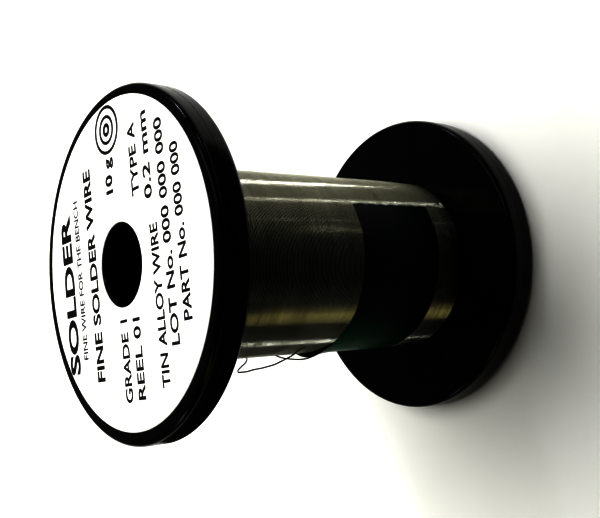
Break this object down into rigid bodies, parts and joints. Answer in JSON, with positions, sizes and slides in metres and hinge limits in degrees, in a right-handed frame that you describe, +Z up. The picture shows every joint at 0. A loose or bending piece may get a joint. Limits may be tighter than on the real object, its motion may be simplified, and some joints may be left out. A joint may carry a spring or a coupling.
{
  "type": "solder wire spool",
  "caption": "Small flanged spool of fine solder wire with a centre hole for a bench spindle, a tape strip holding the loose turns and a round paper label.",
  "frame": {"origin": "centre of the lower flange's outer face, which the spool stands on", "axes": "+Z up along the spool's axis, towards the label; the visible end of the tape is on the +X side and the loose wire end on the -X side"},
  "size_m": [0.0434, 0.0434, 0.0509],
  "materials": {
    "moulding": "glossy black moulding",
    "label_paper": "smooth white paper",
    "solder": "drawn tin alloy wire, dull silver with a warm cast",
    "adhesive_tape": "smooth dark green film"
  },
  "bodies": {
    "root": {"lower_flange": "moulding", "upper_flange": "moulding", "barrel": "moulding", "label": "label_paper", "first_wire_layer": "solder", "second_wire_layer": "solder", "outer_wire_layer": "solder", "tape": "adhesive_tape", "loose_wire_end": "solder"}
  },
  "joints": []
}
